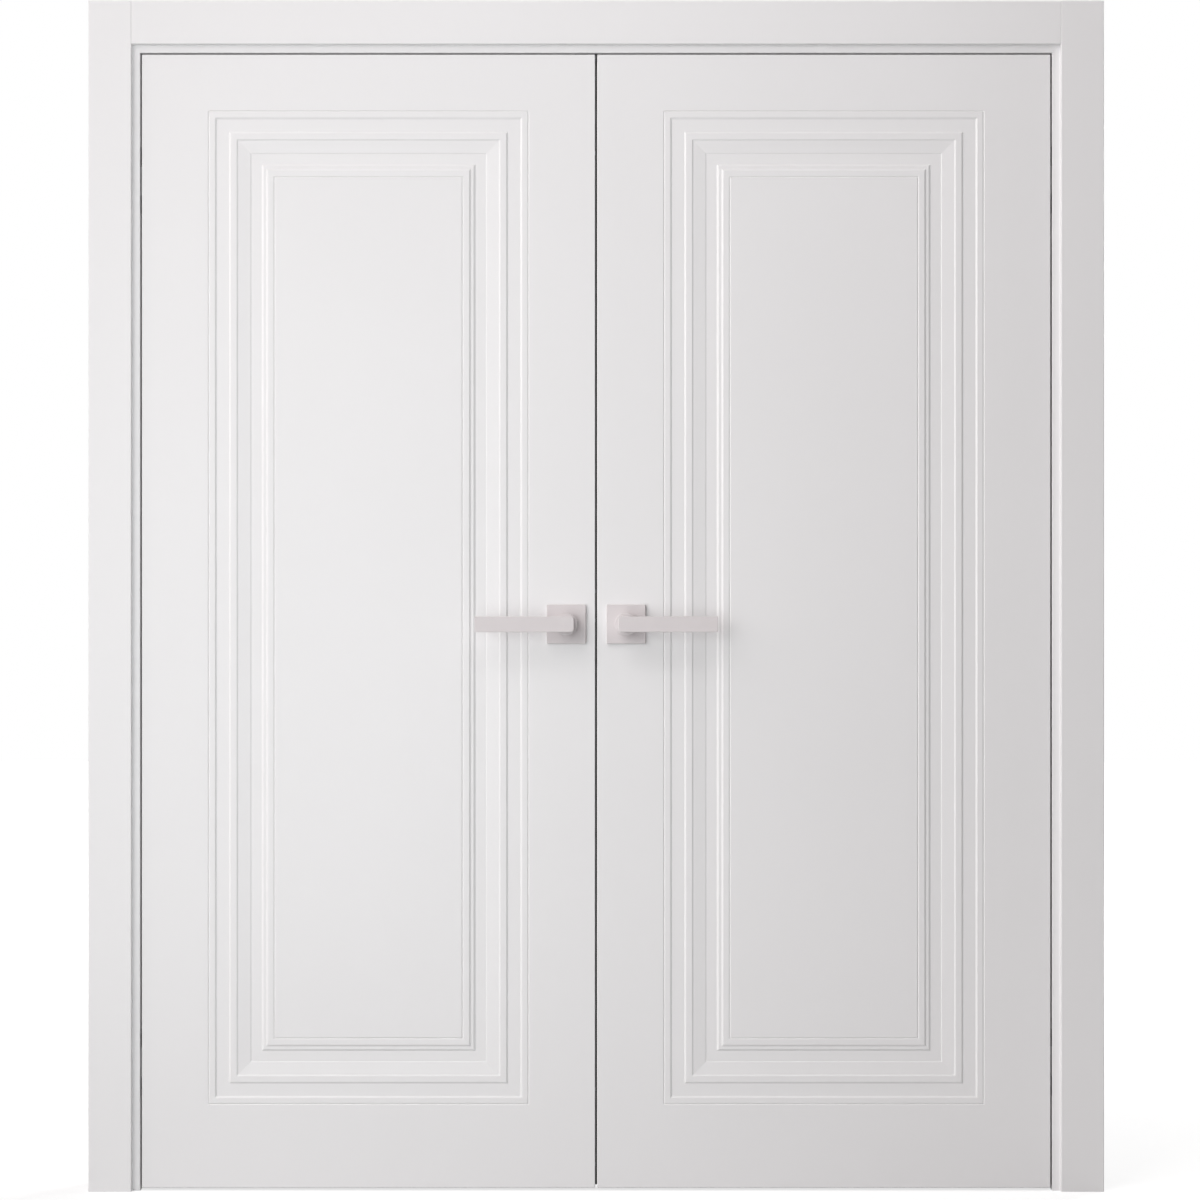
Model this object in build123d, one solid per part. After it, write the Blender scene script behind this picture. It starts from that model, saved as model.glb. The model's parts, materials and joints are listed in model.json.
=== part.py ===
from build123d import *
import os
from math import radians, tan

# Double panelled doors with their frame. Two square-edged leaves, milled with a mitred
# rectangular moulding on both faces, swing towards the front on concealed hinges. The frame
# is a rebated jamb with a seal in its stop and flat casings that plug into it.
# Millimetres: X across the pair, Y into the wall, Z up. The front is towards -Y. The origin is
# on the floor, midway between the leaves and midway through their thickness.

# Leaves and the gaps round them
LEAF_W = 800.0
LEAF_H = 2000.0
LEAF_T = 40.0
SIDE_GAP = 3.0
HEAD_GAP = 3.0
MEETING_GAP = 3.5
FLOOR_GAP = 5.0
LEAF_ARRIS = 1.0

# Jambs
JAMB_FRONT_T = 28.0
JAMB_D = 80.0
JAMB_ARRIS = 1.5
STOP_W = 12.0
STOP_GAP = 3.0
REVEAL = 14.0

# Seal in the stop
SEAL_GROOVE_W = 3.0
SEAL_GROOVE_D = 5.0
SEAL_BULB_W = 7.0
SEAL_ROUND = 1.6
SEAL_PLAY = 0.3

# Casings, with a tongue that plugs into a groove of the jamb
CASING_W = 76.0
CASING_T = 10.0
CASING_ROUND = 1.8
TONGUE_INSET = 6.0
TONGUE_T = 4.0
TONGUE_L = 7.0
TONGUE_PLAY = 0.2
RELIEF_FROM_TONGUE = 2.0
RELIEF_W = 20.0
RELIEF_D = 1.5

# Holes for the screws that hold the jambs to the wall
WALL_SCREW_R = 3.0
SIDE_SCREW_FROM_FLOOR = 250.0
SIDE_SCREW_FROM_HEAD = 158.0
SIDE_SCREW_PITCH = 600.0
HEAD_SCREW_PITCH = 800.0

# Moulding of each leaf face, from its edges to the outer fine groove
PANEL_SIDE = 118.0
PANEL_TOP = 100.0
PANEL_BOTTOM = 148.0

# Moulding, inwards from the outer fine groove: widths run between the middles of the steps
WALL_ANGLE = 32.0
FINE_GROOVE_W = 3.2
FINE_GROOVE_D = 1.3
OUTER_MARGIN_W = 12.5
OUTER_FLAT_W = 25.0
OUTER_FLAT_D = 2.0
BEAD_W = 13.0
SLOPE_DROP = 1.5
SLOPE_W = 23.5
SLOPE_FALL = 2.0
SLOPE_STEP = 0.8
DEEP_FLAT_W = 21.0
LEDGE_RISE = 2.2
LEDGE_W = 8.0
INNER_MARGIN_W = 13.0
CUT_OVER = 1.0

# Concealed hinges. The leaf turns about the middle of the side gap, in the plane of its front
# face. Jamb pin, leaf pin, link pin and that axis are the corners of a rhombus.
HINGE_FROM_END = 220.0
PIN_OUT = 7.4
PIN_IN = 14.0
PIN_R = 2.5
PIN_PLAY = 0.05
OPEN_PIVOT_PLAY = 0.15
PIN_END = 4.0
ARM_H = 52.0
ARM_HALF_W = 4.0
KNUCKLE_R = 4.5
KNUCKLE_PLAY = 0.8
ARM_BEND_OUT = 3.6
ARM_BEND_IN = 10.0
TONGUE_LUG_H = 24.0
LUG_PLAY = 0.3
CUP_W = 31.0
CUP_MIDDLE = 20.0
CUP_DEPTH = 18.0
CUP_WALL = 2.5
CUP_END_PLAY = 1.0
CUP_PLATE_L = 118.0
CUP_PLATE_T = 3.0
MORTISE_PLAY = 0.2

# Lever handles on square roses
HANDLE_Z = 1000.0
BACKSET = 51.0
ROSE_W = 69.0
ROSE_T = 8.0
ROSE_CHAMFER = 1.2
ROSE_CORNER = 0.8
LEVER_PLAY = 0.3
JOURNAL_R = 12.0
JOURNAL_PLAY = 0.06
JOURNAL_START = 1.0
DRUM_R = 19.75
DRUM_TO_BAR = 6.0
DRUM_CHAMFER = 0.6
NECK_R = 13.0
BAR_BACK = 44.0
BAR_T = 11.0
BAR_H = 27.5
BAR_NEAR = 14.0
BAR_REACH = 160.0
BAR_CORNER = 4.0
BAR_EDGE = 0.8
SPINDLE_W = 8.0
SPINDLE_PLAY = 0.1
SPINDLE_OUT = 30.0
SPINDLE_HOLE_R = 11.0

# Latch in the meeting edge of the right leaf
EDGE_PLATE_W = 18.0
EDGE_PLATE_T = 3.0
LATCH_PLATE_L = 160.0
LATCH_BODY_T = 14.0
LATCH_BODY_D = 63.0
LATCH_BELOW = 46.0
LATCH_ABOVE = 50.0
LATCH_WALL = 1.5
HUB_R = 8.0
HUB_PLAY = 0.06
HUB_FLANGE_R = 11.0
CAM_REACH = 16.0
CAM_W = 6.0
BOLT_ABOVE_SPINDLE = 32.0
BOLT_H = 18.0
BOLT_T = 10.0
BOLT_HEAD_L = 16.0
BOLT_TAIL_L = 18.0
BOLT_TAIL_W = 6.0
BOLT_PLAY = 0.15
BOLT_REST_IN = 0.3
BOLT_TRAVEL = 12.0
BOLT_GUIDE_IN = 22.0
BOLT_GUIDE_T = 2.0
STRIKE_L = 70.0
STRIKE_END_PLAY = 2.0
STRIKE_PLAY = 1.5

# Flush bolts in the meeting edge of the left leaf
FLUSH_PLATE_L = 150.0
FLUSH_FROM_END = 30.0
FLUSH_TRAVEL = 15.0
FLUSH_ROD_R = 5.0
FLUSH_ROD_IN = 11.0
FLUSH_ROD_PLAY = 0.1
FLUSH_ROD_REST = 0.5
FLUSH_HOUSING_D = 17.0
FLUSH_HOUSING_T = 16.0
FLUSH_HOUSING_H = 44.0
FLUSH_WALL = 1.5
SLIDE_BLOCK_H = 14.0
SLIDE_BLOCK_D = 12.5
SLIDE_PLAY = 0.4
THUMB_L = 12.0
THUMB_W = 8.0
THUMB_SUNK = 0.5
KEEPER_L = 50.0
KEEPER_T = 2.0
KEEPER_PLAY = 0.6
KEEPER_BORE_DEPTH = 18.0

# Seal in the meeting edge of the left leaf
MEETING_SEAL_IN = 31.0
MEETING_SEAL_W = 3.0
MEETING_SEAL_D = 5.0
MEETING_SEAL_SLIT = 1.0
MEETING_SEAL_ROUND = 0.8

# Levels and planes that follow from the sizes above
front = -LEAF_T / 2
back = LEAF_T / 2
stop_face = back + STOP_GAP
jamb_back = front + JAMB_D
jamb_middle = (front + jamb_back) / 2
meet = MEETING_GAP / 2
leaf_side = meet + LEAF_W
rebate_x = leaf_side + SIDE_GAP
leaf_low = FLOOR_GAP
leaf_high = FLOOR_GAP + LEAF_H
leaf_mid_z = FLOOR_GAP + LEAF_H / 2
rebate_z = leaf_high + HEAD_GAP
casing_in_x = rebate_x + REVEAL
casing_in_z = rebate_z + REVEAL
casing_top = casing_in_z + CASING_W
swing_x = leaf_side + SIDE_GAP / 2
hinge_levels = {"lower": leaf_low + HINGE_FROM_END, "upper": leaf_high - HINGE_FROM_END}
handle_x = meet + BACKSET

JAMB_MITRE = Plane(origin=(rebate_x, 0, rebate_z), z_dir=(1, 0, -1))
LEFT_JAMB_MITRE = Plane(origin=(-rebate_x, 0, rebate_z), z_dir=(-1, 0, -1))
SWING_PLANE = Plane(origin=(swing_x, 0, 0), z_dir=(1, 0, 0))
WALL_MIDDLE = Plane(origin=(0, jamb_middle, 0), z_dir=(0, 1, 0))
LEAF_HALF_HEIGHT = Plane(origin=(0, 0, leaf_mid_z), z_dir=(0, 0, 1))


def to_left(solid):
    """The same piece on the other side of the middle of the pair."""
    return mirror(solid, about=Plane.YZ)


def to_back(solid):
    """The same piece on the other face of a leaf."""
    return mirror(solid, about=Plane.XZ)


def block(x0, x1, y0, y1, z0, z1):
    """Box between two opposite corners."""
    middle = Pos((x0 + x1) / 2, (y0 + y1) / 2, (z0 + z1) / 2)
    return middle * Box(abs(x1 - x0), abs(y1 - y0), abs(z1 - z0))


def rod(start, end, radius):
    """Round bar between the centres of its two end faces."""
    run = Vector(*end) - Vector(*start)
    base = Plane(origin=start, z_dir=run)
    return base * Cylinder(radius, run.length, align=(Align.CENTER, Align.CENTER, Align.MIN))


def edge_plate(x, y, z, length, width, depth):
    """Upright square-ended plate on the plane X = x, reaching depth along X."""
    return block(x, x + depth, y - width / 2, y + width / 2, z - length / 2, z + length / 2)


def outline(points, rounded=(), radius=1.0):
    """Flat face through the points, with the corners listed in rounded eased."""
    face = make_face(Polyline(*points, close=True))
    eased = [v for v in face.vertices() if any((Vector(v) - Vector(*c)).length < 0.01 for c in rounded)]
    return fillet(eased, radius) if eased else face


def upright(section, height):
    """Right-hand post from the floor. The section is (out from the rebate, Y)."""
    return extrude(Pos(rebate_x, 0) * section, amount=height)


def crossbar(section, half_length):
    """Head piece over the opening, from the same kind of section as a post."""
    end = Plane(origin=(half_length, 0, rebate_z), x_dir=(0, 0, 1), z_dir=(-1, 0, 0))
    return extrude(end * section, amount=2 * half_length)


def mitred_head(section):
    """Head piece cut at 45 degrees to meet the posts."""
    bar = crossbar(section, rebate_x + JAMB_FRONT_T)
    bar = split(bar, bisect_by=JAMB_MITRE, keep=Keep.BOTTOM)
    return split(bar, bisect_by=LEFT_JAMB_MITRE, keep=Keep.BOTTOM)


def mitred_post(section):
    """Post cut at 45 degrees under the head piece."""
    post = upright(section, rebate_z + JAMB_FRONT_T)
    return split(post, bisect_by=JAMB_MITRE, keep=Keep.TOP)


# Frame

groove_in = REVEAL + TONGUE_INSET - TONGUE_PLAY
groove_out = REVEAL + TONGUE_INSET + TONGUE_T + TONGUE_PLAY
groove_depth = TONGUE_L + TONGUE_PLAY
seal_middle = -STOP_W / 2


def jamb_section():
    """Rebated section with a groove for each casing and one for the seal."""
    points = [
        (0, front),
        (groove_in, front),
        (groove_in, front + groove_depth),
        (groove_out, front + groove_depth),
        (groove_out, front),
        (JAMB_FRONT_T, front),
        (JAMB_FRONT_T, jamb_back),
        (groove_out, jamb_back),
        (groove_out, jamb_back - groove_depth),
        (groove_in, jamb_back - groove_depth),
        (groove_in, jamb_back),
        (-STOP_W, jamb_back),
        (-STOP_W, stop_face),
        (seal_middle - SEAL_GROOVE_W / 2, stop_face),
        (seal_middle - SEAL_GROOVE_W / 2, stop_face + SEAL_GROOVE_D),
        (seal_middle + SEAL_GROOVE_W / 2, stop_face + SEAL_GROOVE_D),
        (seal_middle + SEAL_GROOVE_W / 2, stop_face),
        (0, stop_face),
    ]
    return outline(points, [(0, front), (-STOP_W, stop_face), (-STOP_W, jamb_back)], JAMB_ARRIS)


def jamb_seal_section():
    """Bulb seal: a stem in the groove and a soft bead that nearly meets the leaf."""
    stem_half = SEAL_GROOVE_W / 2 - SEAL_PLAY / 2
    bulb_half = SEAL_BULB_W / 2
    bulb_front = back + SEAL_PLAY
    points = [
        (seal_middle - bulb_half, stop_face),
        (seal_middle - bulb_half, bulb_front),
        (seal_middle + bulb_half, bulb_front),
        (seal_middle + bulb_half, stop_face),
        (seal_middle + stem_half, stop_face),
        (seal_middle + stem_half, stop_face + SEAL_GROOVE_D - SEAL_PLAY),
        (seal_middle - stem_half, stop_face + SEAL_GROOVE_D - SEAL_PLAY),
        (seal_middle - stem_half, stop_face),
    ]
    return outline(points, points[1:3], SEAL_ROUND)


def casing_section():
    """Flat board of a casing with eased front edges, hollowed over the joint of jamb and wall."""
    inner = REVEAL
    outer = REVEAL + CASING_W
    relief_in = inner + TONGUE_INSET + TONGUE_T + RELIEF_FROM_TONGUE
    relief_out = relief_in + RELIEF_W
    points = [
        (inner, front),
        (inner, front - CASING_T),
        (outer, front - CASING_T),
        (outer, front),
        (relief_out, front),
        (relief_out, front - RELIEF_D),
        (relief_in, front - RELIEF_D),
        (relief_in, front),
    ]
    return outline(points, points[1:3], CASING_ROUND)


def tongue_section():
    """Tongue behind a casing."""
    inner = REVEAL + TONGUE_INSET
    outer = inner + TONGUE_T
    return outline([(inner, front), (outer, front), (outer, front + TONGUE_L), (inner, front + TONGUE_L)])


def side_screw_levels():
    """Heights of the wall screws in each side jamb, a pair from each end."""
    lowest = SIDE_SCREW_FROM_FLOOR
    highest = rebate_z - SIDE_SCREW_FROM_HEAD
    return [lowest, lowest + SIDE_SCREW_PITCH, highest - SIDE_SCREW_PITCH, highest]


def side_jamb():
    """Right jamb post with its wall screw holes through the stop."""
    post = mitred_post(jamb_section())
    y = (stop_face + jamb_back) / 2
    x0 = rebate_x - STOP_W
    x1 = rebate_x + JAMB_FRONT_T
    holes = [rod((x0, y, z), (x1, y, z), WALL_SCREW_R) for z in side_screw_levels()]
    return post - holes


def head_jamb():
    """Head of the jamb, with its screw holes and the pocket for the upper flush bolt."""
    bar = mitred_head(jamb_section())
    y = (stop_face + jamb_back) / 2
    z0 = rebate_z - STOP_W
    z1 = rebate_z + JAMB_FRONT_T
    holes = [
        rod((x, y, z0), (x, y, z1), WALL_SCREW_R)
        for x in (-HEAD_SCREW_PITCH / 2, HEAD_SCREW_PITCH / 2)
    ]
    bore_r = FLUSH_ROD_R + 2 * KEEPER_PLAY
    bore = rod((flush_x, 0, rebate_z), (flush_x, 0, rebate_z + KEEPER_BORE_DEPTH), bore_r)
    return bar - holes - bore - keeper_plate(MORTISE_PLAY)


def side_casing():
    """Right front casing, the full height of the frame."""
    board = upright(casing_section(), casing_top)
    return board + upright(tongue_section(), casing_in_z)


def head_casing():
    """Front head casing, fitted between the side casings."""
    return crossbar(casing_section(), casing_in_x) + crossbar(tongue_section(), casing_in_x)


# Leaves


def sloped(points_with_levels):
    """Section corners for a run of sloped steps, each given by its middle and both depths."""
    slope = tan(radians(WALL_ANGLE))
    corners = []
    for middle, depth_before, depth_after in points_with_levels:
        half = abs(depth_after - depth_before) / slope / 2
        corners += [(middle - half, depth_before), (middle + half, depth_after)]
    return corners


def opened_above(corners):
    """Close a section above the leaf's face, carrying its outer slopes on upwards."""
    spread = CUT_OVER / tan(radians(WALL_ANGLE))
    first = (corners[0][0] - spread, -CUT_OVER)
    last = (corners[-1][0] + spread, -CUT_OVER)
    return [first] + corners + [last]


def fine_groove(inset):
    """Section of a narrow V groove."""
    spread = FINE_GROOVE_W / 2 * (1 + CUT_OVER / FINE_GROOVE_D)
    return [(inset - spread, -CUT_OVER), (inset, FINE_GROOVE_D), (inset + spread, -CUT_OVER)]


def moulding_sections():
    """Sections milled round each panel, as (inset from the outer groove, depth) corners."""
    flat_start = OUTER_MARGIN_W
    bead_start = flat_start + OUTER_FLAT_W
    slope_start = bead_start + BEAD_W
    deep_start = slope_start + SLOPE_W
    ledge_start = deep_start + DEEP_FLAT_W
    field_start = ledge_start + LEDGE_W
    slope_end_depth = SLOPE_DROP + SLOPE_FALL
    deep = slope_end_depth + SLOPE_STEP
    ledge = deep - LEDGE_RISE
    outer_flat = sloped([(flat_start, 0, OUTER_FLAT_D), (bead_start, OUTER_FLAT_D, 0)])
    deep_band = sloped(
        [
            (slope_start, 0, SLOPE_DROP),
            (deep_start, slope_end_depth, deep),
            (ledge_start, deep, ledge),
            (field_start, ledge, 0),
        ]
    )
    return [
        fine_groove(0),
        opened_above(outer_flat),
        opened_above(deep_band),
        fine_groove(field_start + INNER_MARGIN_W),
    ]


def milled_line(corners):
    """Cutters that follow the panel rectangle of the right leaf's front face, mitred."""
    x0 = meet + PANEL_SIDE
    x1 = leaf_side - PANEL_SIDE
    z0 = leaf_low + PANEL_BOTTOM
    z1 = leaf_high - PANEL_TOP
    section = outline(corners)
    upright_end = Plane(origin=(x0, front, z0), x_dir=(1, 0, 0), z_dir=(0, 0, 1))
    cross_end = Plane(origin=(x1, front, z0), x_dir=(0, 0, 1), z_dir=(-1, 0, 0))
    side = extrude(upright_end * section, amount=z1 - z0)
    side = split(side, bisect_by=Plane(origin=(x0, 0, z0), z_dir=(-1, 0, 1)), keep=Keep.TOP)
    side = split(side, bisect_by=Plane(origin=(x0, 0, z1), z_dir=(-1, 0, -1)), keep=Keep.TOP)
    low = extrude(cross_end * section, amount=x1 - x0)
    low = split(low, bisect_by=Plane(origin=(x0, 0, z0), z_dir=(1, 0, -1)), keep=Keep.TOP)
    low = split(low, bisect_by=Plane(origin=(x1, 0, z0), z_dir=(-1, 0, -1)), keep=Keep.TOP)
    middle_x = Plane(origin=((x0 + x1) / 2, 0, 0), z_dir=(1, 0, 0))
    middle_z = Plane(origin=(0, 0, (z0 + z1) / 2), z_dir=(0, 0, 1))
    return [side, mirror(side, about=middle_x), low, mirror(low, about=middle_z)]


def panelled_leaf():
    """Right leaf before its hardware is let in, milled alike on both faces."""
    slab = block(meet, leaf_side, front, back, leaf_low, leaf_high)
    slab = chamfer(slab.edges(), LEAF_ARRIS)
    for corners in moulding_sections():
        cutters = milled_line(corners)
        slab = slab - cutters - [to_back(cutter) for cutter in cutters]
    return slab


# Concealed hinges, made for the right jamb and mirrored to the leaf and to the left

jamb_pin = (swing_x + PIN_OUT, front + PIN_IN)
link_pin = (swing_x, front + 2 * PIN_IN)
arm_bend = (jamb_pin[0] + ARM_BEND_OUT, jamb_pin[1] + ARM_BEND_IN)
cup_y = front + CUP_MIDDLE
cavity_h = ARM_H + 2 * CUP_END_PLAY
cup_body_h = cavity_h + 2 * (PIN_END + CUP_WALL)
pin_length = cavity_h + 2 * PIN_END


def bar_in_plan(start, end, start_r, end_r):
    """Plan shape of a bar with round ends."""
    rounds = (Pos(*start) * Circle(start_r)).edges() + (Pos(*end) * Circle(end_r)).edges()
    return make_hull(rounds)


def slab_in_z(shape, height):
    """Plan shape given a height, centred on Z = 0."""
    return extrude(Pos(0, 0, -height / 2) * shape, amount=height)


def upright_pin(place, radius, height):
    """Upright round pin or hole, centred on Z = 0."""
    return rod((*place, -height / 2), (*place, height / 2), radius)


def plain_arm():
    """Goosenecked arm from the jamb pin to the link pin, with full-height ends."""
    root = bar_in_plan(jamb_pin, arm_bend, KNUCKLE_R, ARM_HALF_W)
    tip = bar_in_plan(arm_bend, link_pin, ARM_HALF_W, KNUCKLE_R)
    arm = slab_in_z(root, ARM_H) + slab_in_z(tip, ARM_H)
    return arm - upright_pin(jamb_pin, PIN_R + PIN_PLAY, 2 * ARM_H)


def lug_room(height):
    """Room round the link pin for the other arm's lug, centred on Z = 0."""
    half = KNUCKLE_R + KNUCKLE_PLAY
    x, y = link_pin
    return block(x - half, x + half, y - half, y + half, -height / 2, height / 2)


def forked_arm():
    """Jamb arm, whose two lugs carry the link pin."""
    gap = lug_room(TONGUE_LUG_H + 2 * LUG_PLAY)
    return plain_arm() - gap - upright_pin(link_pin, PIN_R + PIN_PLAY, 2 * ARM_H)


def tongued_arm():
    """Leaf arm, whose one middle lug runs loose on the link pin."""
    ends = lug_room(2 * ARM_H) - lug_room(TONGUE_LUG_H)
    arm = plain_arm() - ends - upright_pin(link_pin, PIN_R + OPEN_PIVOT_PLAY, 2 * ARM_H)
    return mirror(arm, about=SWING_PLANE)


def cup_outside(play):
    """Face plate and body of a hinge cup in the jamb, grown by play for its mortise."""
    half_w = CUP_W / 2 + play
    half_h = cup_body_h / 2 + play
    plate = edge_plate(rebate_x, cup_y, 0, CUP_PLATE_L + 2 * play, CUP_W + 2 * play, CUP_PLATE_T)
    body = block(rebate_x, rebate_x + CUP_DEPTH + play, cup_y - half_w, cup_y + half_w, -half_h, half_h)
    return plate + body


def hinge_cup():
    """Cup let into the jamb: the arm folds into its cavity."""
    half_w = CUP_W / 2 - CUP_WALL
    inner = rebate_x + CUP_DEPTH - CUP_WALL
    cavity = block(rebate_x - 1, inner, cup_y - half_w, cup_y + half_w, -cavity_h / 2, cavity_h / 2)
    return cup_outside(0) - cavity - upright_pin(jamb_pin, PIN_R + PIN_PLAY, pin_length)


def at_hinges(solid):
    """Copies of a hinge piece at every hinge of the right side."""
    return [Pos(0, 0, z) * solid for z in hinge_levels.values()]


# Lever handles


def rose():
    """Square rose on the front of the right leaf, bored for the lever's journal."""
    half = ROSE_W / 2
    plate = block(handle_x - half, handle_x + half, front - ROSE_T, front, HANDLE_Z - half, HANDLE_Z + half)
    plate = chamfer(plate.edges().filter_by(Axis.Y), ROSE_CORNER)
    plate = chamfer(plate.faces().sort_by(Axis.Y)[0].edges(), ROSE_CHAMFER)
    bore = rod((handle_x, front, HANDLE_Z), (handle_x, front - ROSE_T, HANDLE_Z), JOURNAL_R + JOURNAL_PLAY)
    return plate - bore


def lever_stem():
    """Journal, drum and neck of a lever, turned round the handle's axis."""
    seat = ROSE_T + LEVER_PLAY
    drum_top = BAR_BACK - DRUM_TO_BAR
    face = outline(
        [
            (0, JOURNAL_START),
            (JOURNAL_R, JOURNAL_START),
            (JOURNAL_R, seat),
            (DRUM_R, seat),
            (DRUM_R, drum_top - DRUM_CHAMFER),
            (DRUM_R - DRUM_CHAMFER, drum_top),
            (NECK_R, drum_top),
            (NECK_R, BAR_BACK + BAR_T / 2),
            (0, BAR_BACK + BAR_T / 2),
        ]
    )
    return Pos(handle_x, front, HANDLE_Z) * Rot(0, 0, 180) * revolve(face, axis=Axis.Y)


def lever():
    """Flat straight lever on the front of the right leaf, pointing away from the meeting edge."""
    near = handle_x - BAR_NEAR
    far = handle_x + BAR_REACH
    low = HANDLE_Z - BAR_H / 2
    bar = block(near, far, front - BAR_BACK - BAR_T, front - BAR_BACK, low, low + BAR_H)
    bar = fillet(bar.edges().filter_by(Axis.Y).group_by(Axis.X)[0], BAR_CORNER)
    front_edges = bar.faces().sort_by(Axis.Y)[0].edges()
    back_edges = bar.faces().sort_by(Axis.Y)[-1].edges()
    bar = chamfer(front_edges + back_edges, BAR_EDGE)
    return lever_stem() + bar - spindle(SPINDLE_PLAY)


def spindle(play):
    """Square bar through the right leaf that joins its two levers."""
    half = SPINDLE_W / 2 + play
    reach = back + SPINDLE_OUT + play
    return block(handle_x - half, handle_x + half, -reach, reach, HANDLE_Z - half, HANDLE_Z + half)


def spindle_hole():
    """Round hole through a leaf for the spindle."""
    return rod((handle_x, front - 1, HANDLE_Z), (handle_x, back + 1, HANDLE_Z), SPINDLE_HOLE_R)


# Latch in the right leaf

latch_z = HANDLE_Z + BOLT_ABOVE_SPINDLE
latch_middle_z = HANDLE_Z + (LATCH_ABOVE - LATCH_BELOW) / 2
latch_in = meet + EDGE_PLATE_T


def latch_outside(play):
    """Face plate and body of the latch, grown by play for its mortise."""
    length = LATCH_PLATE_L + 2 * play
    plate = edge_plate(meet, 0, latch_middle_z, length, EDGE_PLATE_W + 2 * play, EDGE_PLATE_T)
    half_t = LATCH_BODY_T / 2 + play
    low = HANDLE_Z - LATCH_BELOW - play
    high = HANDLE_Z + LATCH_ABOVE + play
    return plate + block(latch_in, latch_in + LATCH_BODY_D + play, -half_t, half_t, low, high)


def latch_housing():
    """Hollow latch body with its hub holes, bolt opening and bolt guide."""
    half_t = LATCH_BODY_T / 2 - LATCH_WALL
    low = HANDLE_Z - LATCH_BELOW + LATCH_WALL
    high = HANDLE_Z + LATCH_ABOVE - LATCH_WALL
    inside = block(latch_in, latch_in + LATCH_BODY_D - LATCH_WALL, -half_t, half_t, low, high)
    guide_x = meet + BOLT_GUIDE_IN
    guide = block(guide_x, guide_x + BOLT_GUIDE_T, -half_t, half_t, latch_z - BOLT_H / 2, high)
    hub_r = HUB_R + HUB_PLAY
    hub_hole = rod((handle_x, -LATCH_BODY_T, HANDLE_Z), (handle_x, LATCH_BODY_T, HANDLE_Z), hub_r)
    housing = latch_outside(0) - inside + guide
    return housing - hub_hole - latch_bolt_outline(BOLT_PLAY, meet - 1, guide_x + 2 * BOLT_GUIDE_T)


def latch_bolt_outline(play, start, end):
    """Bolt head and tail between two depths in the leaf, grown by play for their openings."""
    head_end = meet + EDGE_PLATE_T + BOLT_HEAD_L
    half_t = BOLT_T / 2 + play
    half_h = BOLT_H / 2 + play
    half_tail = BOLT_TAIL_W / 2 + play
    head = block(start, head_end, -half_t, half_t, latch_z - half_h, latch_z + half_h)
    tail = block(head_end, end, -half_tail, half_tail, latch_z - half_tail, latch_z + half_tail)
    return head + tail


def latch_bolt():
    """Sliding bolt, drawn in at rest."""
    end = meet + EDGE_PLATE_T + BOLT_HEAD_L + BOLT_TAIL_L
    return latch_bolt_outline(0, meet + BOLT_REST_IN, end)


def latch_follower():
    """Hub that the spindle turns, with its cam."""
    half_t = LATCH_BODY_T / 2
    flange_half_t = half_t - LATCH_WALL - HUB_PLAY
    hub = rod((handle_x, -half_t, HANDLE_Z), (handle_x, half_t, HANDLE_Z), HUB_R)
    flange = rod((handle_x, -flange_half_t, HANDLE_Z), (handle_x, flange_half_t, HANDLE_Z), HUB_FLANGE_R)
    half_cam = CAM_W / 2
    top = HANDLE_Z + CAM_REACH
    cam = block(handle_x - half_cam, handle_x + half_cam, -flange_half_t, flange_half_t, HANDLE_Z, top)
    return hub + flange + cam - spindle(SPINDLE_PLAY)


def strike_plate(play):
    """Plate in the left leaf's meeting edge that the latch bolt enters."""
    return edge_plate(-meet, 0, latch_z, STRIKE_L + 2 * play, EDGE_PLATE_W + 2 * play, -KEEPER_T)


def strike_opening():
    """Room for the latch bolt behind the strike plate."""
    half_t = BOLT_T / 2 + STRIKE_PLAY
    half_h = BOLT_H / 2 + STRIKE_PLAY
    inner = -meet - BOLT_TRAVEL - STRIKE_END_PLAY
    return block(inner, -meet + 1, -half_t, half_t, latch_z - half_h, latch_z + half_h)


# Flush bolts in the left leaf, made for the top and mirrored to the bottom

flush_x = -meet - FLUSH_ROD_IN
flush_z = leaf_high - FLUSH_FROM_END - FLUSH_PLATE_L / 2
flush_in = -meet - EDGE_PLATE_T
slide_rest_z = flush_z - FLUSH_TRAVEL / 2


def to_bottom(solid):
    """The same piece at the other end of the leaf."""
    return mirror(solid, about=LEAF_HALF_HEIGHT)


def flush_outside(play):
    """Face plate and housing of the upper flush bolt, grown by play for the mortise."""
    length = FLUSH_PLATE_L + 2 * play
    plate = edge_plate(-meet, 0, flush_z, length, EDGE_PLATE_W + 2 * play, -EDGE_PLATE_T)
    half_t = FLUSH_HOUSING_T / 2 + play
    half_h = FLUSH_HOUSING_H / 2 + play
    inner = flush_in - FLUSH_HOUSING_D - play
    return plate + block(inner, flush_in, -half_t, half_t, flush_z - half_h, flush_z + half_h)


def flush_plate():
    """Face plate and hollow housing, with the thumb slot and the rod's hole."""
    half_t = FLUSH_HOUSING_T / 2 - FLUSH_WALL
    half_h = FLUSH_HOUSING_H / 2 - FLUSH_WALL
    inner = flush_in - FLUSH_HOUSING_D + FLUSH_WALL
    inside = block(inner, flush_in, -half_t, half_t, flush_z - half_h, flush_z + half_h)
    slot_l = THUMB_L + FLUSH_TRAVEL + 2 * SLIDE_PLAY
    slot = edge_plate(-meet, 0, flush_z, slot_l, THUMB_W + 2 * SLIDE_PLAY, -EDGE_PLATE_T)
    hole_top = flush_z + FLUSH_HOUSING_H / 2
    hole = rod((flush_x, 0, flush_z), (flush_x, 0, hole_top), FLUSH_ROD_R + FLUSH_ROD_PLAY)
    return flush_outside(0) - inside - slot - hole


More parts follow.
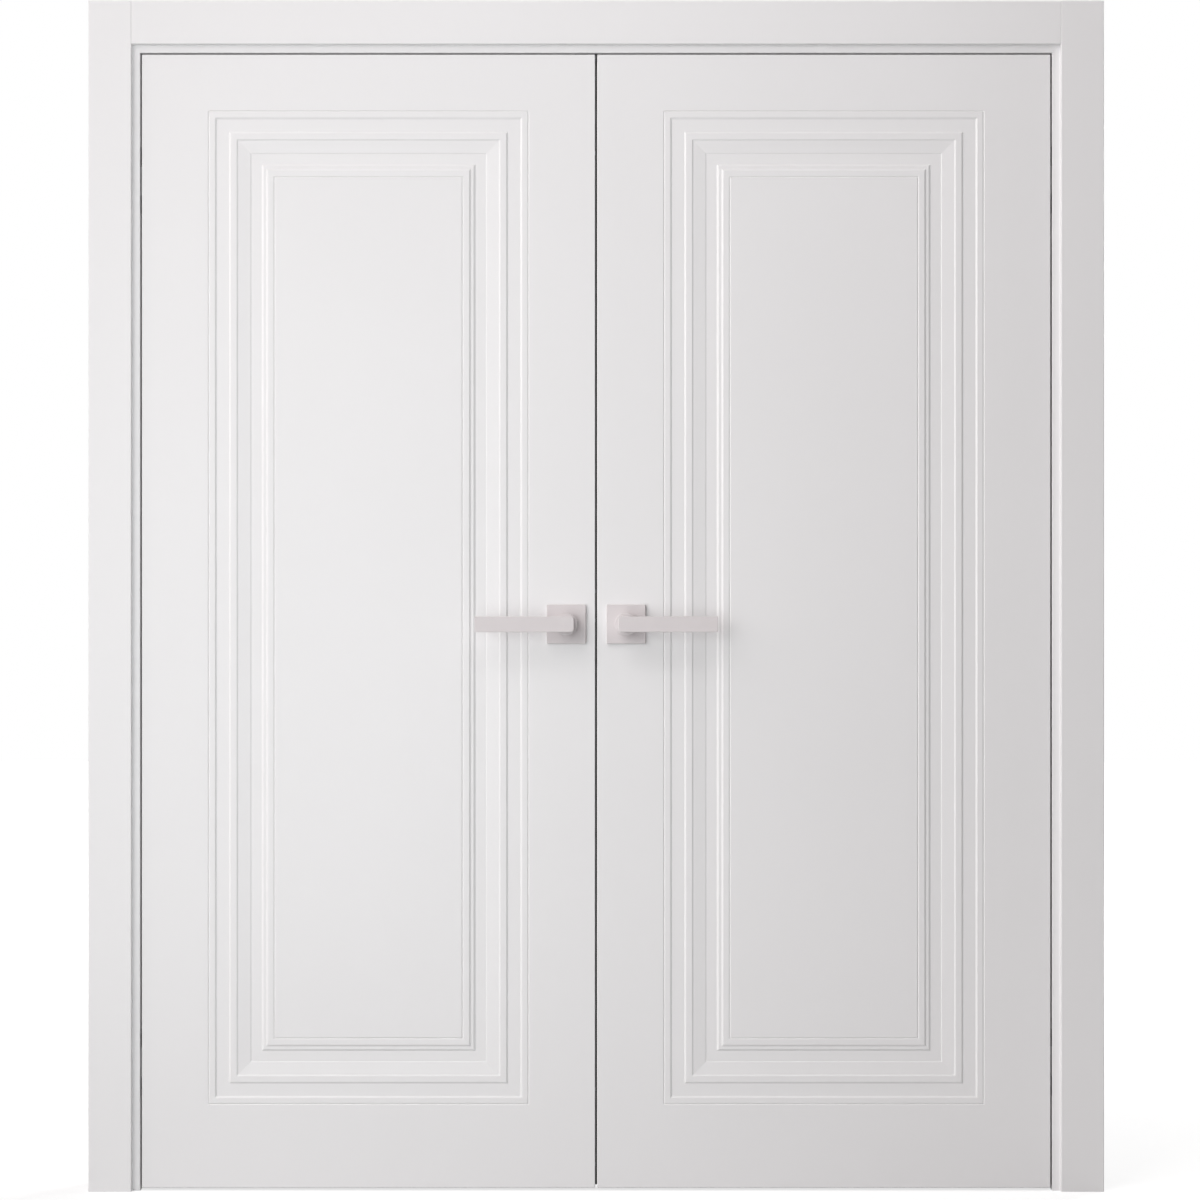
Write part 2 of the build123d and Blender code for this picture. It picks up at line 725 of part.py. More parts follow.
def flush_bolt():
    """Rod, slide block and thumb piece of the upper flush bolt, drawn in at rest."""
    half_t = FLUSH_HOUSING_T / 2 - FLUSH_WALL - SLIDE_PLAY
    half_h = SLIDE_BLOCK_H / 2
    outer = flush_in - SLIDE_PLAY
    slide = block(outer - SLIDE_BLOCK_D, outer, -half_t, half_t, slide_rest_z - half_h, slide_rest_z + half_h)
    thumb_out = -meet - THUMB_SUNK
    thumb = edge_plate(thumb_out, 0, slide_rest_z, THUMB_L, THUMB_W, outer - thumb_out)
    shaft = rod((flush_x, 0, slide_rest_z), (flush_x, 0, leaf_high - FLUSH_ROD_REST), FLUSH_ROD_R)
    return slide + thumb + shaft


def flush_mortise():
    """What is cut out of the left leaf for the upper flush bolt."""
    shaft_r = FLUSH_ROD_R + KEEPER_PLAY
    return flush_outside(MORTISE_PLAY) + rod((flush_x, 0, flush_z), (flush_x, 0, leaf_high + 1), shaft_r)


def keeper_plate(play):
    """Plate under the head jamb that the upper flush bolt passes through, before its hole."""
    half_l = KEEPER_L / 2 + play
    half_w = EDGE_PLATE_W / 2 + play
    return block(flush_x - half_l, flush_x + half_l, -half_w, half_w, rebate_z, rebate_z + KEEPER_T)


def keeper():
    """Keeper of the upper flush bolt."""
    hole_r = FLUSH_ROD_R + KEEPER_PLAY
    return keeper_plate(0) - rod((flush_x, 0, rebate_z), (flush_x, 0, rebate_z + KEEPER_T), hole_r)


# Seal between the leaves

meeting_seal_y = front + MEETING_SEAL_IN + MEETING_SEAL_W / 2


def meeting_seal_groove():
    """Groove along the left leaf's meeting edge."""
    half_w = MEETING_SEAL_W / 2
    near_y = meeting_seal_y - half_w
    far_y = meeting_seal_y + half_w
    return block(-meet - MEETING_SEAL_D, -meet + 1, near_y, far_y, leaf_low - 1, leaf_high + 1)


def meeting_seal():
    """Strip in that groove, standing out towards the other leaf."""
    half_w = (MEETING_SEAL_W - SEAL_PLAY) / 2
    inner = -meet - MEETING_SEAL_D + SEAL_PLAY
    outer = meet - MEETING_SEAL_SLIT
    strip = block(inner, outer, meeting_seal_y - half_w, meeting_seal_y + half_w, leaf_low, leaf_high)
    lip = strip.edges().filter_by(Axis.Z).group_by(Axis.X)[-1]
    return fillet(lip, MEETING_SEAL_ROUND)


# Nodes

nodes = {}


def add_pair(name, solid):
    """Keep a right-hand piece and its left-hand mirror image."""
    nodes["right_" + name] = solid
    nodes["left_" + name] = to_left(solid)


def add_frame():
    """Jambs, their seals and the casings on both faces of the wall."""
    cup_mortises = at_hinges(cup_outside(MORTISE_PLAY))
    add_pair("jamb", side_jamb() - cup_mortises)
    nodes["head_jamb"] = head_jamb()
    add_pair("jamb_seal", mitred_post(jamb_seal_section()))
    nodes["head_jamb_seal"] = mitred_head(jamb_seal_section())
    casing = side_casing()
    top = head_casing()
    for face, on_face in (("front", casing), ("back", mirror(casing, about=WALL_MIDDLE))):
        nodes[face + "_right_casing"] = on_face
        nodes[face + "_left_casing"] = to_left(on_face)
    nodes["front_head_casing"] = top
    nodes["back_head_casing"] = mirror(top, about=WALL_MIDDLE)
    nodes["head_bolt_keeper"] = keeper()


def add_leaves():
    """Both leaves with the mortises of their own hardware."""
    panelled = panelled_leaf()
    cup_mortises = [mirror(cutter, about=SWING_PLANE) for cutter in at_hinges(cup_outside(MORTISE_PLAY))]
    panelled = panelled - cup_mortises - spindle_hole()
    nodes["right_leaf"] = panelled - latch_outside(MORTISE_PLAY)
    flush = flush_mortise()
    left = to_left(panelled) - flush - to_bottom(flush)
    left = left - strike_plate(MORTISE_PLAY) - strike_opening()
    nodes["left_leaf"] = left - meeting_seal_groove()
    nodes["meeting_seal"] = meeting_seal()


def add_hinges():
    """Cups, arms and pins of the four concealed hinges."""
    cup = hinge_cup()
    pieces = {
        "jamb_hinge_cup": cup,
        "leaf_hinge_cup": mirror(cup, about=SWING_PLANE),
        "jamb_hinge_arm": forked_arm(),
        "leaf_hinge_arm": tongued_arm(),
    }
    for level, z in hinge_levels.items():
        for name, solid in pieces.items():
            add_pair(level + "_" + name, Pos(0, 0, z) * solid)
    jamb_pins = at_hinges(upright_pin(jamb_pin, PIN_R, pin_length))
    leaf_pins = [mirror(pin, about=SWING_PLANE) for pin in jamb_pins]
    nodes["jamb_hinge_pins"] = Compound(children=jamb_pins + [to_left(pin) for pin in jamb_pins])
    add_pair("leaf_hinge_pins", Compound(children=leaf_pins))
    add_pair("link_hinge_pins", Compound(children=at_hinges(upright_pin(link_pin, PIN_R, ARM_H))))


def add_handles():
    """Roses, levers and spindles on both faces of both leaves."""
    rose_plate = rose()
    handle = lever()
    add_pair("front_rose", rose_plate)
    add_pair("back_rose", to_back(rose_plate))
    add_pair("front_lever", handle)
    add_pair("back_lever", to_back(handle))
    add_pair("spindle", spindle(0))


def add_locks():
    """Latch, strike and flush bolts of the meeting edges."""
    nodes["latch_housing"] = latch_housing()
    nodes["latch_follower"] = latch_follower()
    nodes["latch_bolt"] = latch_bolt()
    nodes["strike_plate"] = strike_plate(0) - strike_opening()
    plate = flush_plate()
    bolt = flush_bolt()
    nodes["upper_flush_bolt_plate"] = plate
    nodes["lower_flush_bolt_plate"] = to_bottom(plate)
    nodes["upper_flush_bolt"] = bolt
    nodes["lower_flush_bolt"] = to_bottom(bolt)


add_frame()
add_leaves()
add_hinges()
add_handles()
add_locks()

os.makedirs("parts", exist_ok=True)
for name, solid in nodes.items():
    export_step(solid, f"parts/{name}.step")
print(len(nodes), "nodes")
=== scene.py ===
"""Looks of a pair of white panelled doors in their frame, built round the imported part.

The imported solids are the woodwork, the hinges and the lock parts. This script gives each of them
its finish and makes finer meshes for the roses, the levers and the meeting seal. It adds the
screws, the caps, the grip ribs and the magnet, and sets up a plain studio with a camera that
looks as the photograph does. Metres, Z up.
"""

import json
import logging
import math
from dataclasses import dataclass, field
from enum import Enum
from typing import Protocol

import bmesh
import bpy
from mathutils import Matrix, Vector
from mathutils.geometry import tessellate_polygon

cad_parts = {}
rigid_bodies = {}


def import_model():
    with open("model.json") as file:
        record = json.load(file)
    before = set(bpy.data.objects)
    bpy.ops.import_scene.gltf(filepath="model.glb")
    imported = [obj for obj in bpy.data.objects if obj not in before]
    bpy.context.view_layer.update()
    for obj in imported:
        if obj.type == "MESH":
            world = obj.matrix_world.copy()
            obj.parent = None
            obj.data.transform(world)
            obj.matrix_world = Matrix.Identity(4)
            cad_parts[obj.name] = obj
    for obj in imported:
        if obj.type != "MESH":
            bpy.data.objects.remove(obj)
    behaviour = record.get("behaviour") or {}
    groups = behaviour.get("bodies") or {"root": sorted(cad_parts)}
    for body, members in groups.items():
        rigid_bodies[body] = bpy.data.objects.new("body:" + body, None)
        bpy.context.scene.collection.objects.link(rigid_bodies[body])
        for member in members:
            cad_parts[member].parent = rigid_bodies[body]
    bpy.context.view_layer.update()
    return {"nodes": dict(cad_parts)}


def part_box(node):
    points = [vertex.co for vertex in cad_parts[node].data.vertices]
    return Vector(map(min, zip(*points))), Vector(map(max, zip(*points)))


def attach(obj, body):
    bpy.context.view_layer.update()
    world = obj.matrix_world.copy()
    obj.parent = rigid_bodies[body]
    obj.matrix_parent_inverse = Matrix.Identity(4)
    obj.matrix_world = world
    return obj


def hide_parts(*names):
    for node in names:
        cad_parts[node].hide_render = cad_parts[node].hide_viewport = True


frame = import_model()
MM = 0.001

log = logging.getLogger("doors")

Point = tuple[float, float]
Triple = tuple[float, float, float]
Colour = Triple
Place = Triple

# Values between which most of a noise lies.
NOISE_LOW = 0.3
NOISE_HIGH = 0.7

# Edges that turn by less than this many degrees are shaded smooth.
SMOOTH_BELOW = 35.0

# How near is near enough, for edges and corners that are found by where they lie.
NEARLY_PARALLEL = 0.999
SAME_LEVEL = 0.001 * MM
SAME_FACE = 0.1 * MM

# Profile of a bevel that is part of a circle.
ROUND = 0.5

DOWN = Vector((0.0, 0.0, -1.0))


class Side(Enum):
    """Which leaf a piece belongs to, with the sign of its X."""

    LEFT = -1
    RIGHT = 1

    @property
    def word(self) -> str:
        """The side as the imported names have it."""
        return self.name.lower()


class Face(Enum):
    """Which face of a leaf a piece is on, with the sign of its Y."""

    FRONT = -1
    BACK = 1

    @property
    def word(self) -> str:
        """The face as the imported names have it."""
        return self.name.lower()


class Level(Enum):
    """Which of two alike fittings of a leaf, one above the other."""

    LOWER = "lower"
    UPPER = "upper"


class Owner(Enum):
    """What a hinge cup is let into."""

    JAMB = "jamb"
    LEAF = "leaf"


class Drive(Enum):
    """Recess in the head of a screw."""

    CROSS = "cross"
    HEX = "hex"


# Finishes


class Sheet:
    """Node tree of one material, with short ways to add nodes to it."""

    def __init__(self, slot: str) -> None:
        """Start an empty tree.

        Args:
            slot: Slot of the record that the material stands for.
        """
        self.material = bpy.data.materials.new(f"{slot}_finish")
        self.material["slot"] = slot
        self.material.use_nodes = True
        self.tree = self.material.node_tree
        self.tree.nodes.clear()
        self.output = self.tree.nodes.new("ShaderNodeOutputMaterial")
        self.place = self.add("TexCoord").outputs["Object"]

    def add(self, kind: str, **inputs: object) -> bpy.types.Node:
        """Add a node and fill its sockets.

        Args:
            kind: Node type without its leading ShaderNode.
            **inputs: Socket names with _ for a space, each with a value or a socket to join.

        Returns:
            The new node.
        """
        node = self.tree.nodes.new("ShaderNode" + kind)
        for key, value in inputs.items():
            socket = node.inputs[key.replace("_", " ")]
            if isinstance(value, bpy.types.NodeSocket):
                self.tree.links.new(value, socket)
            else:
                socket.default_value = value
        return node

    def noise(
        self, scale: float, detail: float, stretch: Triple = (1.0, 1.0, 1.0)
    ) -> bpy.types.NodeSocket:
        """Noise over the piece.

        Args:
            scale: Features per metre.
            detail: Octaves of the noise.
            stretch: Factors on the coordinates, for streaks.

        Returns:
            The noise's value socket.
        """
        where = self.add("Mapping", Vector=self.place, Scale=stretch).outputs["Vector"]
        return self.add("TexNoise", Vector=where, Scale=scale, Detail=detail).outputs["Fac"]

    def varied(self, noise: bpy.types.NodeSocket, middle: float, changes: Point) -> bpy.types.NodeSocket:
        """Number that a noise moves a little down and up.

        Args:
            noise: Socket of the noise.
            middle: The plain number.
            changes: What is added to it where the noise is low and where it is high.

        Returns:
            The number's socket.
        """
        ranged = self.add(
            "MapRange", Value=noise, From_Min=NOISE_LOW, From_Max=NOISE_HIGH,
            To_Min=middle + changes[0], To_Max=middle + changes[1],
        )
        return ranged.outputs["Result"]

    def tinted(self, noise: bpy.types.NodeSocket, colour: Colour, factors: Point) -> bpy.types.NodeSocket:
        """Colour that a noise makes a little darker and lighter.

        Args:
            noise: Socket of the noise.
            colour: The plain colour.
            factors: Factors on it where the noise is low and where it is high.

        Returns:
            The colour socket.
        """
        ramp = self.add("ValToRGB", Fac=noise)
        dark, light = ramp.color_ramp.elements
        dark.position = NOISE_LOW
        dark.color = (*toned(colour, factors[0]), 1.0)
        light.position = NOISE_HIGH
        light.color = (*toned(colour, factors[1]), 1.0)
        return ramp.outputs["Color"]

    def softened(self, radius: float, rays: int = 6) -> bpy.types.NodeSocket:
        """Normal that rounds sharp edges.

        Args:
            radius: Radius of the rounding in metres.
            rays: Rays that look for the edges.

        Returns:
            The new normal.
        """
        node = self.add("Bevel", Radius=radius)
        node.samples = rays
        return node.outputs["Normal"]

    def bumped(
        self, height: bpy.types.NodeSocket, depth: float, normal: bpy.types.NodeSocket | None = None
    ) -> bpy.types.NodeSocket:
        """Normal with a fine relief.

        Args:
            height: Socket with the relief's height from 0 to 1.
            depth: Depth of the relief in metres.
            normal: Normal below it, if it isn't the surface's own.

        Returns:
            The new normal.
        """
        node = self.add("Bump", Height=height, Distance=depth, Strength=1.0)
        if normal is not None:
            self.tree.links.new(normal, node.inputs["Normal"])
        return node.outputs["Normal"]

    def dressed(self, **inputs: object) -> bpy.types.Material:
        """Close the tree with its surface shader.

        Args:
            **inputs: Socket names of the shader, as in add.

        Returns:
            The finished material.
        """
        shader = self.add("BsdfPrincipled", **inputs)
        self.tree.links.new(shader.outputs["BSDF"], self.output.inputs["Surface"])
        return self.material


def toned(colour: Colour, factor: float) -> Colour:
    """The same colour, lighter or darker by a factor."""
    return (colour[0] * factor, colour[1] * factor, colour[2] * factor)


@dataclass(frozen=True)
class EnamelFinish:
    """Satin white enamel sprayed on fibreboard, with soft edges and a trace of orange peel."""

    slot: str
    colour: Colour = (0.868, 0.858, 0.861)
    tones: Point = (0.992, 1.006)
    cloud_scale: float = 2.2
    roughness: float = 0.40
    gloss_changes: Point = (-0.03, 0.03)
    ior: float = 1.5
    edge: float = 0.7 * MM
    wave_scale: float = 38.0
    wave_depth: float = 0.024 * MM
    peel_scale: float = 420.0
    peel_depth: float = 0.006 * MM

    def material(self) -> bpy.types.Material:
        """Build the enamel.

        Returns:
            Its material.
        """
        sheet = Sheet(self.slot)
        clouds = sheet.noise(self.cloud_scale, detail=3.0)
        peel = sheet.noise(self.peel_scale, detail=2.0)
        waves = sheet.noise(self.wave_scale, detail=1.0)
        rolled = sheet.bumped(waves, self.wave_depth, sheet.softened(self.edge))
        return sheet.dressed(
            Base_Color=sheet.tinted(clouds, self.colour, self.tones),
            Roughness=sheet.varied(waves, self.roughness, self.gloss_changes),
            IOR=self.ior,
            Normal=sheet.bumped(peel, self.peel_depth, rolled),
        )


@dataclass(frozen=True)
class CoatFinish:
    """Matt powder coat on metal, with a fine grain."""

    slot: str
    colour: Colour = (0.715, 0.670, 0.675)
    tones: Point = (0.985, 1.015)
    tone_scale: float = 30.0
    roughness: float = 0.55
    gloss_changes: Point = (-0.05, 0.05)
    ior: float = 1.5
    edge: float = 0.4 * MM
    grain_scale: float = 2600.0
    grain_depth: float = 0.01 * MM

    def material(self) -> bpy.types.Material:
        """Build the powder coat.

        Returns:
            Its material.
        """
        sheet = Sheet(self.slot)
        grain = sheet.noise(self.grain_scale, detail=3.0)
        tone = sheet.noise(self.tone_scale, detail=2.0)
        return sheet.dressed(
            Base_Color=sheet.tinted(tone, self.colour, self.tones),
            Roughness=sheet.varied(grain, self.roughness, self.gloss_changes),
            IOR=self.ior,
            Normal=sheet.bumped(grain, self.grain_depth, sheet.softened(self.edge)),
        )


@dataclass(frozen=True)
class MetalFinish:
    """Satin metal with fine brush lines along Z."""

    slot: str
    colour: Colour = (0.58, 0.58, 0.59)
    tones: Point = (0.95, 1.04)
    cloud_scale: float = 60.0
    roughness: float = 0.34
    gloss_changes: Point = (-0.06, 0.08)
    line_scale: float = 900.0
    line_stretch: float = 0.03
    line_depth: float = 0.004 * MM
    edge: float = 0.3 * MM

    def material(self) -> bpy.types.Material:
        """Build the brushed metal.

        Returns:
            Its material.
        """
        sheet = Sheet(self.slot)
        lines = sheet.noise(self.line_scale, detail=3.0, stretch=(1.0, 1.0, self.line_stretch))
        clouds = sheet.noise(self.cloud_scale, detail=3.0)
        return sheet.dressed(
            Base_Color=sheet.tinted(clouds, self.colour, self.tones),
            Metallic=1.0,
            Roughness=sheet.varied(lines, self.roughness, self.gloss_changes),
            Normal=sheet.bumped(lines, self.line_depth, sheet.softened(self.edge)),
        )


@dataclass(frozen=True)
class RubberFinish:
    """Matt soft rubber with a faint bloom."""

    slot: str
    colour: Colour = (0.030, 0.030, 0.031)
    tones: Point = (0.8, 1.5)
    bloom_scale: float = 160.0
    roughness: float = 0.72
    gloss_changes: Point = (-0.06, 0.08)
    ior: float = 1.45
    skin_scale: float = 1800.0
    skin_depth: float = 0.01 * MM

    def material(self) -> bpy.types.Material:
        """Build the rubber.

        Returns:
            Its material.
        """
        sheet = Sheet(self.slot)
        bloom = sheet.noise(self.bloom_scale, detail=4.0)
        skin = sheet.noise(self.skin_scale, detail=2.0)
        return sheet.dressed(
            Base_Color=sheet.tinted(bloom, self.colour, self.tones),
            Roughness=sheet.varied(bloom, self.roughness, self.gloss_changes),
            IOR=self.ior,
            Normal=sheet.bumped(skin, self.skin_depth),
        )


@dataclass(frozen=True)
class FloorFinish:
    """Pale floor that shows white to the camera and keeps a soft shadow near the doors."""

    slot: str = "floor"
    colour: Colour = (0.45, 0.45, 0.45)
    near_reach: float = 1.8
    near_glow: float = 0.68
    far_reach: float = 4.5
    far_glow: float = 1.0

    def material(self) -> bpy.types.Material:
        """Build the floor's own tone, with white added where it is seen and more of it far off.

        Returns:
            Its material.
        """
        sheet = Sheet(self.slot)
        reach = sheet.add("VectorMath")
        reach.operation = "LENGTH"
        sheet.tree.links.new(sheet.place, reach.inputs[0])
        glow = sheet.add(
            "MapRange", Value=reach.outputs["Value"], From_Min=self.near_reach, From_Max=self.far_reach,
            To_Min=self.near_glow, To_Max=self.far_glow,
        )
        path = sheet.add("LightPath")
        seen = sheet.add("Math")
        seen.operation = "MAXIMUM"
        sheet.tree.links.new(path.outputs["Is Camera Ray"], seen.inputs[0])
        sheet.tree.links.new(path.outputs["Is Glossy Ray"], seen.inputs[1])
        dark = sheet.add("Emission", Strength=0.0)
        white = sheet.add("Emission", Color=(1.0, 1.0, 1.0, 1.0), Strength=glow.outputs["Result"])
        mix = sheet.add("MixShader", Fac=seen.outputs["Value"])
        matt = sheet.add("BsdfDiffuse", Color=(*self.colour, 1.0))
        both = sheet.add("AddShader")
        sheet.tree.links.new(dark.outputs["Emission"], mix.inputs[1])
        sheet.tree.links.new(white.outputs["Emission"], mix.inputs[2])
        sheet.tree.links.new(mix.outputs["Shader"], both.inputs[0])
        sheet.tree.links.new(matt.outputs["BSDF"], both.inputs[1])
        sheet.tree.links.new(both.outputs["Shader"], sheet.output.inputs["Surface"])
        return sheet.material


@dataclass
class Palette:
    """The finishes of the pair of doors, each built once, with its slot in the record."""

    door: bpy.types.Material = field(default_factory=EnamelFinish("door_enamel").material)
    frame: bpy.types.Material = field(default_factory=EnamelFinish("frame_enamel").material)
    coat: bpy.types.Material = field(default_factory=CoatFinish("handle_coat").material)
    hinge: bpy.types.Material = field(
        default_factory=MetalFinish("hinge_metal", colour=(0.64, 0.64, 0.65), roughness=0.38).material
    )
    pin: bpy.types.Material = field(
        default_factory=MetalFinish("pin_steel", colour=(0.50, 0.50, 0.51), roughness=0.28).material
    )
    lock: bpy.types.Material = field(default_factory=MetalFinish("lock_steel").material)
    seal: bpy.types.Material = field(default_factory=RubberFinish("seal_rubber").material)

    def dress(self, obj: bpy.types.Object, finish: bpy.types.Material) -> None:
        """Give an object one finish.

        Args:
            obj: Mesh object, packed or made here.
            finish: One of the palette's materials.
        """
        obj.data.materials.clear()
        obj.data.materials.append(finish)


# Meshes


def made(
    name: str,
    shape: bmesh.types.BMesh,
    body: str,
    palette: Palette,
    finish: bpy.types.Material,
) -> bpy.types.Object:
    """Turn a finished shape into a dressed object that rides on a body.

    Args:
        name: Name of the object.
        shape: Its mesh in the row frame. It is freed.
        body: Body of the part that carries it.
        palette: Finishes of the pair.
        finish: The one that it wears.

    Returns:
        The new object.
    """
    bmesh.ops.recalc_face_normals(shape, faces=shape.faces[:])
    limit = math.radians(SMOOTH_BELOW)
    for face in shape.faces:
        face.smooth = True
    for edge in shape.edges:
        edge.smooth = len(edge.link_faces) == 2 and edge.calc_face_angle(math.pi) < limit
    mesh = bpy.data.meshes.new(name)
    shape.to_mesh(mesh)
    shape.free()
    obj = bpy.data.objects.new(name, mesh)
    bpy.context.scene.collection.objects.link(obj)
    palette.dress(obj, finish)
    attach(obj, body)
    flat_first = obj.modifiers.new("flat_first", "WEIGHTED_NORMAL")
    flat_first.keep_sharp = True
    return obj


def turned(profile: list[Point], steps: int) -> bmesh.types.BMesh:
    """Turn a profile round the Z axis.

    Args:
        profile: (radius, height) points from one end of the axis to the other.
        steps: Facets round the axis.

    Returns:
        The turned shape.
    """
    shape = bmesh.new()
    rings = []
    for radius, height in profile:
        if radius == 0.0:
            rings.append([shape.verts.new((0.0, 0.0, height))] * steps)
            continue
        angles = [2 * math.pi * step / steps for step in range(steps)]
        rings.append([shape.verts.new((radius * math.cos(a), radius * math.sin(a), height)) for a in angles])
    for lower, upper in zip(rings, rings[1:]):
        for step in range(steps):
            after = (step + 1) % steps
            corners = dict.fromkeys([lower[step], lower[after], upper[after], upper[step]])
            shape.faces.new(list(corners))
    return shape


def eased(profile_corner: Point, start: Point, end: Point, radius: float, steps: int = 6) -> list[Point]:
    """Round one corner of a profile.

    Args:
        profile_corner: The sharp corner.
        start: A point on the side before it.
        end: A point on the side after it.
        radius: Radius of the rounding, for sides at a right angle.
        steps: Facets along the arc.

    Returns:
        Points of the arc from the first side to the second.
    """
    corner = Vector(profile_corner)
    towards = (Vector(start) - corner).normalized() * radius
    away = (Vector(end) - corner).normalized() * radius
    points = []
    for step in range(steps + 1):
        angle = math.pi / 2 * step / steps
        point = corner + towards * (1 - math.sin(angle)) + away * (1 - math.cos(angle))
        points.append((point.x, point.y))
    return points


def block(low: Vector, high: Vector) -> bmesh.types.BMesh:
    """Box between two corners.

    Args:
        low: Its lowest corner.
        high: Its highest corner.

    Returns:
        The box.
    """
    shape = bmesh.new()
    bmesh.ops.create_cube(shape, size=1.0)
    placed = Matrix.Translation((low + high) / 2) @ Matrix.Diagonal((*(high - low), 1.0))
    bmesh.ops.transform(shape, matrix=placed, verts=shape.verts[:])
    return shape


def soften(shape: bmesh.types.BMesh, edges: list[bmesh.types.BMEdge], radius: float, steps: int) -> None:
    """Round chosen edges of a shape.

    Args:
        shape: The shape, changed in place.
        edges: Edges to round.
        radius: Radius of the rounding.
        steps: Facets across it.
    """
    bmesh.ops.bevel(
        shape, geom=edges, offset=radius, offset_type="OFFSET", segments=steps, profile=ROUND,
        affect="EDGES", clamp_overlap=True,
    )


def along(edge: bmesh.types.BMEdge, axis: int) -> bool:
    """Whether an edge runs along one axis."""
    run = edge.verts[1].co - edge.verts[0].co
    return abs(run[axis]) > NEARLY_PARALLEL * run.length


def on_plane(edge: bmesh.types.BMEdge, axis: int, level: float) -> bool:
    """Whether both ends of an edge lie at a level of an axis."""
    return all(abs(v.co[axis] - level) < SAME_LEVEL for v in edge.verts)


def join_into(target: bmesh.types.BMesh, extra: bmesh.types.BMesh) -> None:
    """Add one shape's mesh to another's.

    Args:
        target: The shape that grows.
        extra: The shape that is added. It is freed.
    """
    mesh = bpy.data.meshes.new("joined")
    extra.to_mesh(mesh)
    extra.free()
    target.from_mesh(mesh)
    bpy.data.meshes.remove(mesh)


def stood(shape: bmesh.types.BMesh, point: Vector, facing: Vector) -> bmesh.types.BMesh:
    """Move a shape whose own axis is Z to a point, with that axis along facing.

    Args:
        shape: The shape, changed in place.
        point: Where its origin goes.
        facing: Direction of its axis.

    Returns:
        The same shape.
    """
    turn = facing.to_track_quat("Z", "Y").to_matrix().to_4x4()
    bmesh.ops.transform(shape, matrix=Matrix.Translation(point) @ turn, verts=shape.verts[:])
    return shape


@dataclass(frozen=True)
class Screw:
    """Head of a screw with its recess, seated on a plate."""

    radius: float
    rise: float
    recess: float
    recess_depth: float
    drive: Drive = Drive.CROSS
    steps: int = 28

    # Shares of the radius and of the rise, from the foot in the plate to the flat top.
    rim: tuple[Point, ...] = ((1.0, -0.3), (1.0, 0.15), (0.93, 0.7), (0.80, 1.0))

    # Half the width of a cross recess's arm, as a share of its reach.
    arm_half: float = 0.27

    # Size of the recess's floor, as a share of its mouth.
    taper: float = 0.8

    # Radians by which the first screw of a row is turned, and by which each next one is turned more.
    first_turn: float = 0.3
    next_turn: float = 0.7

    def recess_outline(self) -> list[Vector]:
        """Corners of the recess.

        Returns:
            The corners in order, in the XY plane.
        """
        if self.drive is Drive.HEX:
            turns = [math.pi / 3 * n for n in range(6)]
            return [Vector((self.recess * math.cos(a), self.recess * math.sin(a), 0.0)) for a in turns]
        arm = self.recess
        half = self.arm_half * self.recess
        quarter = [(arm, -half), (arm, half), (half, half)]
        corners = []
        for n in range(4):
            turn = Matrix.Rotation(math.pi / 2 * n, 3, "Z")
            corners += [turn @ Vector((x, y, 0.0)) for x, y in quarter]
        return corners

    def head(self) -> bmesh.types.BMesh:
        """Mesh of the head: a low rim, a flat top and the recess in it.

        Returns:
            The head, seated on the XY plane.
        """
        shape = bmesh.new()
        angles = [2 * math.pi * n / self.steps for n in range(self.steps)]
        rings = []
        for radius_share, rise_share in self.rim:
            reach = self.radius * radius_share
            level = self.rise * rise_share
            corners = [(reach * math.cos(a), reach * math.sin(a), level) for a in angles]
            rings.append([shape.verts.new(corner) for corner in corners])
        for lower, upper in zip(rings, rings[1:]):
            for n in range(self.steps):
                after = (n + 1) % self.steps
                shape.faces.new((lower[n], lower[after], upper[after], upper[n]))
        inner = [corner + Vector((0.0, 0.0, self.rise)) for corner in self.recess_outline()]
        mouth = [shape.verts.new(corner) for corner in inner]
        top = rings[-1] + mouth
        for triangle in tessellate_polygon([[v.co for v in rings[-1]], inner]):
            shape.faces.new([top[n] for n in triangle])
        depth = self.rise - self.recess_depth
        floor = [shape.verts.new((self.taper * c.x, self.taper * c.y, depth)) for c in inner]
        for n in range(len(mouth)):
            after = (n + 1) % len(mouth)
            shape.faces.new((mouth[n], floor[n], floor[after], mouth[after]))
        shape.faces.new(floor)
        return shape


def screws(
    name: str,
    screw: Screw,
    points: list[Vector],
    facing: Vector,
    body: str,
    palette: Palette,
    finish: bpy.types.Material,
) -> bpy.types.Object:
    """One object with a screw head at each point.

    Args:
        name: Name of the object.
        screw: The kind of screw.
        points: Where the heads sit.
        facing: Direction in which they look.
        body: Body that carries them.
        palette: Finishes of the pair.
        finish: Finish of the heads.

    Returns:
        The new object.
    """
    heads = bmesh.new()
    for number, point in enumerate(points):
        head = screw.head()
        turn = screw.next_turn * number + screw.first_turn
        bmesh.ops.rotate(head, verts=head.verts[:], matrix=Matrix.Rotation(turn, 3, "Z"))
        join_into(heads, stood(head, point, facing))
    return made(name, heads, body, palette, finish)


# Sub-assemblies


